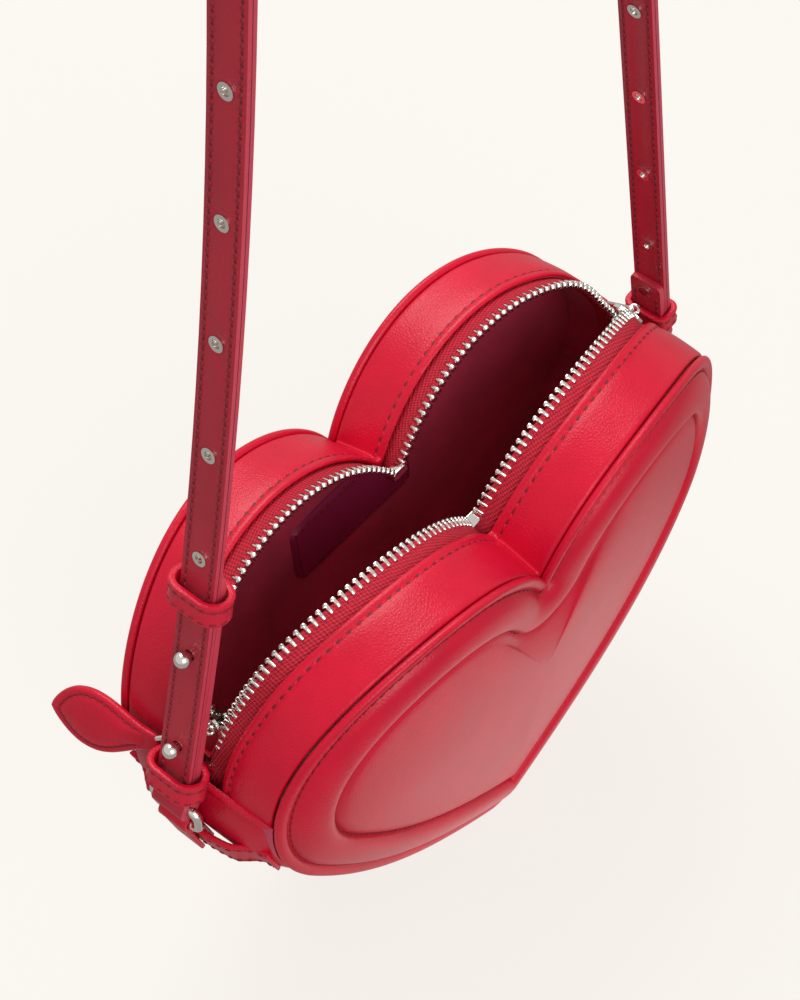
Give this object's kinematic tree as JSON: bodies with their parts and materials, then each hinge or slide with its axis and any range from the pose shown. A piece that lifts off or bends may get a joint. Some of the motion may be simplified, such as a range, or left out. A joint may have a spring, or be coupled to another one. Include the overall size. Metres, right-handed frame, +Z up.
{
  "type": "heart shaped purse",
  "caption": "Padded heart shaped zip purse of smooth leather, open at the top, hung by an adjustable narrow strap with side rings, keepers and ball studs.",
  "frame": {"origin": "underside of the strap at its highest point, where the purse hangs", "axes": "+Z up along the hanging strap, +X across the heart to its right lobe, -Y is the front of the heart"},
  "size_m": [0.2063, 0.087, 0.6406],
  "materials": {
    "red_leather": "smooth bright red leather with a fine grain and a satin sheen",
    "strap_leather": "smooth red strap leather, a little duller than the body",
    "lining": "dark burgundy lining",
    "board": "hidden stiffener board",
    "zip_tape": "red woven zip tape",
    "nickel": "polished nickel"
  },
  "bodies": {
    "strap": {"shoulder_strap": "strap_leather", "tab_left": "strap_leather", "tab_right": "strap_leather", "studs_left": "nickel", "stud_right": "nickel", "strap_eyelets": "nickel"},
    "bag": {"front_panel": "red_leather", "back_panel": "red_leather", "front_board": "board", "back_board": "board", "front_lining": "lining", "back_lining": "lining", "bottom_gusset": "red_leather", "gusset_lining": "lining", "front_zip_gusset": "red_leather", "back_zip_gusset": "red_leather", "front_zip_tape": "zip_tape", "back_zip_tape": "zip_tape", "teeth_front_left": "nickel", "teeth_front_right": "nickel", "teeth_back_left": "nickel", "teeth_back_right": "nickel", "front_stop_block": "nickel", "back_stop_block": "nickel", "end_stop_left": "nickel", "end_stop_right": "nickel", "inner_patch": "lining", "side_band_left": "red_leather", "side_band_right": "red_leather", "ring_loop_left": "red_leather", "ring_loop_right": "red_leather"},
    "ring_left": {"side_ring_left": "nickel"},
    "ring_right": {"side_ring_right": "nickel"},
    "zip_slider_left": {"slider_left": "nickel"},
    "zip_slider_right": {"slider_right": "nickel"},
    "link_left": {"pull_link_left": "nickel"},
    "link_right": {"pull_link_right": "nickel"},
    "pull_left": {"leaf_left": "red_leather"},
    "pull_right": {"leaf_right": "red_leather"},
    "upper_keeper_left": {"keeper_left_upper": "strap_leather"},
    "lower_keeper_left": {"keeper_left_lower": "strap_leather"},
    "lower_keeper_right": {"keeper_right": "strap_leather"}
  },
  "joints": [
    {"name": "bag_swing", "type": "hinge", "parent": "strap", "child": "bag", "pos_m": [0, 0, -0.53645], "axis": [1, 0, 0], "range_deg": [-30, 8], "deforming": ["ring_loop_left", "ring_loop_right"]},
    {"name": "ring_left_hinge", "type": "hinge", "parent": "strap", "child": "ring_left", "pos_m": [-0.09795, 0, -0.53295], "axis": [0, 1, 0], "range_deg": [-12, 12], "deforming": ["ring_loop_left"]},
    {"name": "ring_right_hinge", "type": "hinge", "parent": "strap", "child": "ring_right", "pos_m": [0.09795, 0, -0.53295], "axis": [0, 1, 0], "range_deg": [-12, 12], "deforming": ["ring_loop_right"]},
    {"name": "slider_left_travel", "type": "hinge", "parent": "bag", "child": "zip_slider_left", "pos_m": [-0.0425, 0, -0.53649], "axis": [0, 1, 0], "range_deg": [0, 8]},
    {"name": "link_left_swing", "type": "hinge", "parent": "zip_slider_left", "child": "link_left", "pos_m": [-0.08768, 0, -0.51638], "axis": [0.4067, 0, 0.9135], "range_deg": [0, 10]},
    {"name": "leaf_left_turn", "type": "hinge", "parent": "link_left", "child": "pull_left", "pos_m": [-0.09215, 0.0135, -0.52643], "axis": [0.9135, 0, -0.4067], "range_deg": [-15, 15]},
    {"name": "slider_right_travel", "type": "hinge", "parent": "bag", "child": "zip_slider_right", "pos_m": [0.0425, 0, -0.53649], "axis": [0, -1, 0], "range_deg": [0, 8]},
    {"name": "link_right_swing", "type": "hinge", "parent": "zip_slider_right", "child": "link_right", "pos_m": [0.08768, 0, -0.51638], "axis": [0.4067, 0, -0.9135], "range_deg": [0, 10]},
    {"name": "leaf_right_turn", "type": "hinge", "parent": "link_right", "child": "pull_right", "pos_m": [0.09215, 0.0135, -0.52643], "axis": [0.9135, 0, 0.4067], "range_deg": [-15, 15]},
    {"name": "upper_keeper_left_slide", "type": "slide", "parent": "strap", "child": "upper_keeper_left", "axis": [0.2454, 0, 0.9694], "range_m": [-0.008, 0.005]},
    {"name": "lower_keeper_left_slide", "type": "slide", "parent": "strap", "child": "lower_keeper_left", "axis": [0.2902, 0, 0.957], "range_m": [0, 0.0025]},
    {"name": "lower_keeper_right_slide", "type": "slide", "parent": "strap", "child": "lower_keeper_right", "axis": [-0.1625, 0, 0.9867], "range_m": [0, 0.005]}
  ]
}
